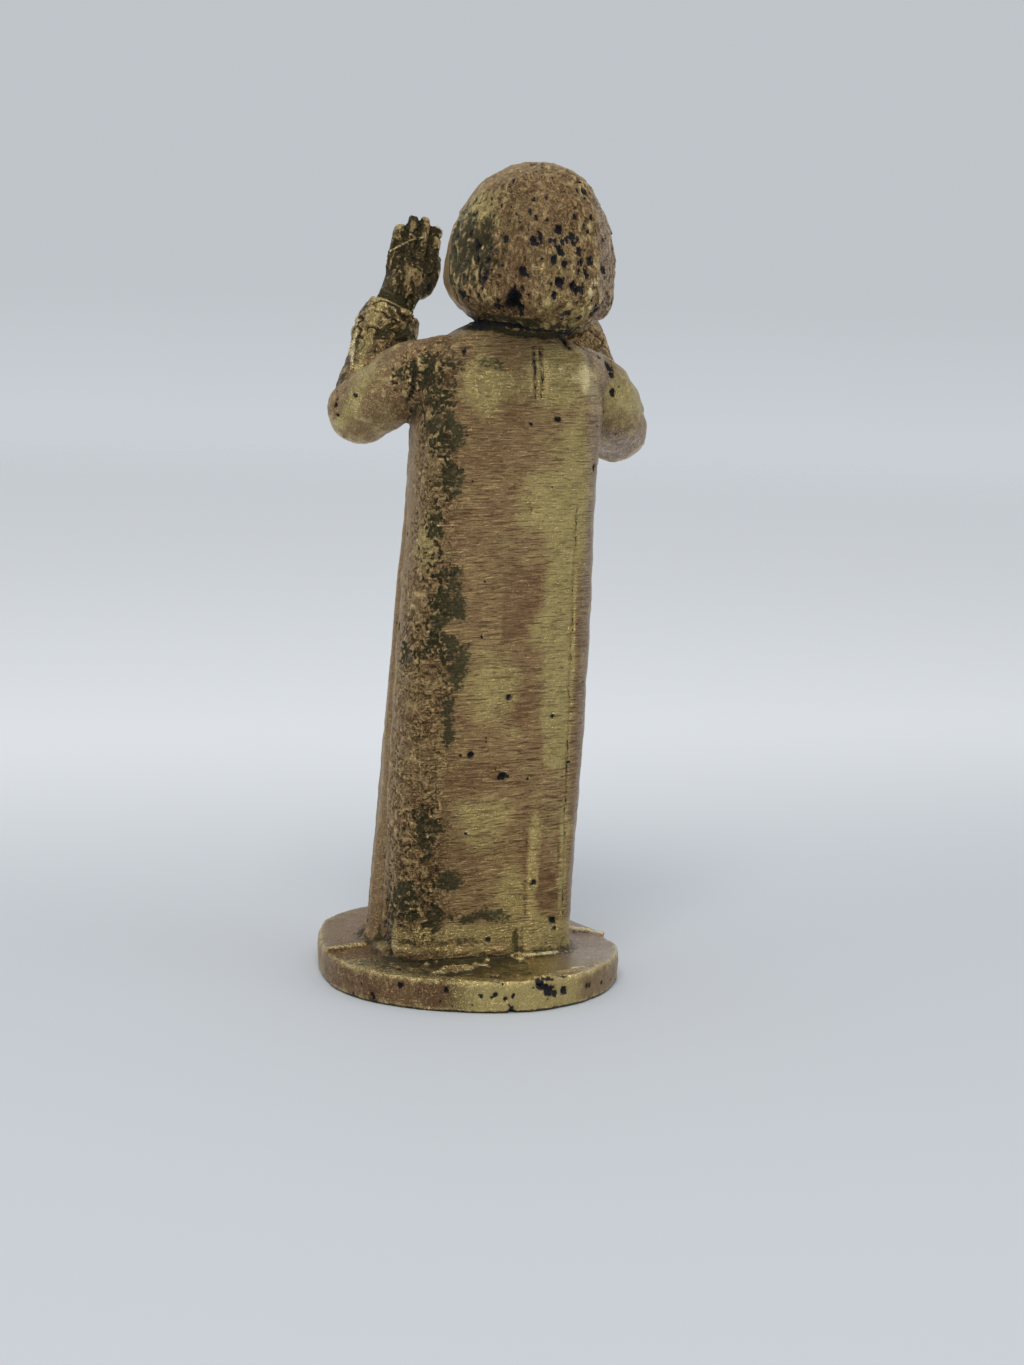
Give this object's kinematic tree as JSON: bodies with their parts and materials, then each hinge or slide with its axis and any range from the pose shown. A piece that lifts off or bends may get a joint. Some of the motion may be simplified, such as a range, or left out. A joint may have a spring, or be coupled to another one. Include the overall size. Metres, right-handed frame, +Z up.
{
  "type": "saint figurine",
  "caption": "Small one-piece cast brass saint in a long pleated robe, both hands raised with palms forward, standing on a thin rounded foot plate.",
  "frame": {"origin": "on the foot plate's flat underside, under the middle of the plate", "axes": "+Z up from the plate to the crown of the head; the figure faces -Y, its left hand is on the +X side"},
  "size_m": [0.0257, 0.0243, 0.06],
  "materials": {
    "saint_figurine": "aged cast brass, dull olive brown with a rubbed yellow sheen on edges, dark green-black patina in hollows and casting pits"
  },
  "bodies": {
    "root": {"saint_figurine": "saint_figurine"}
  },
  "joints": []
}
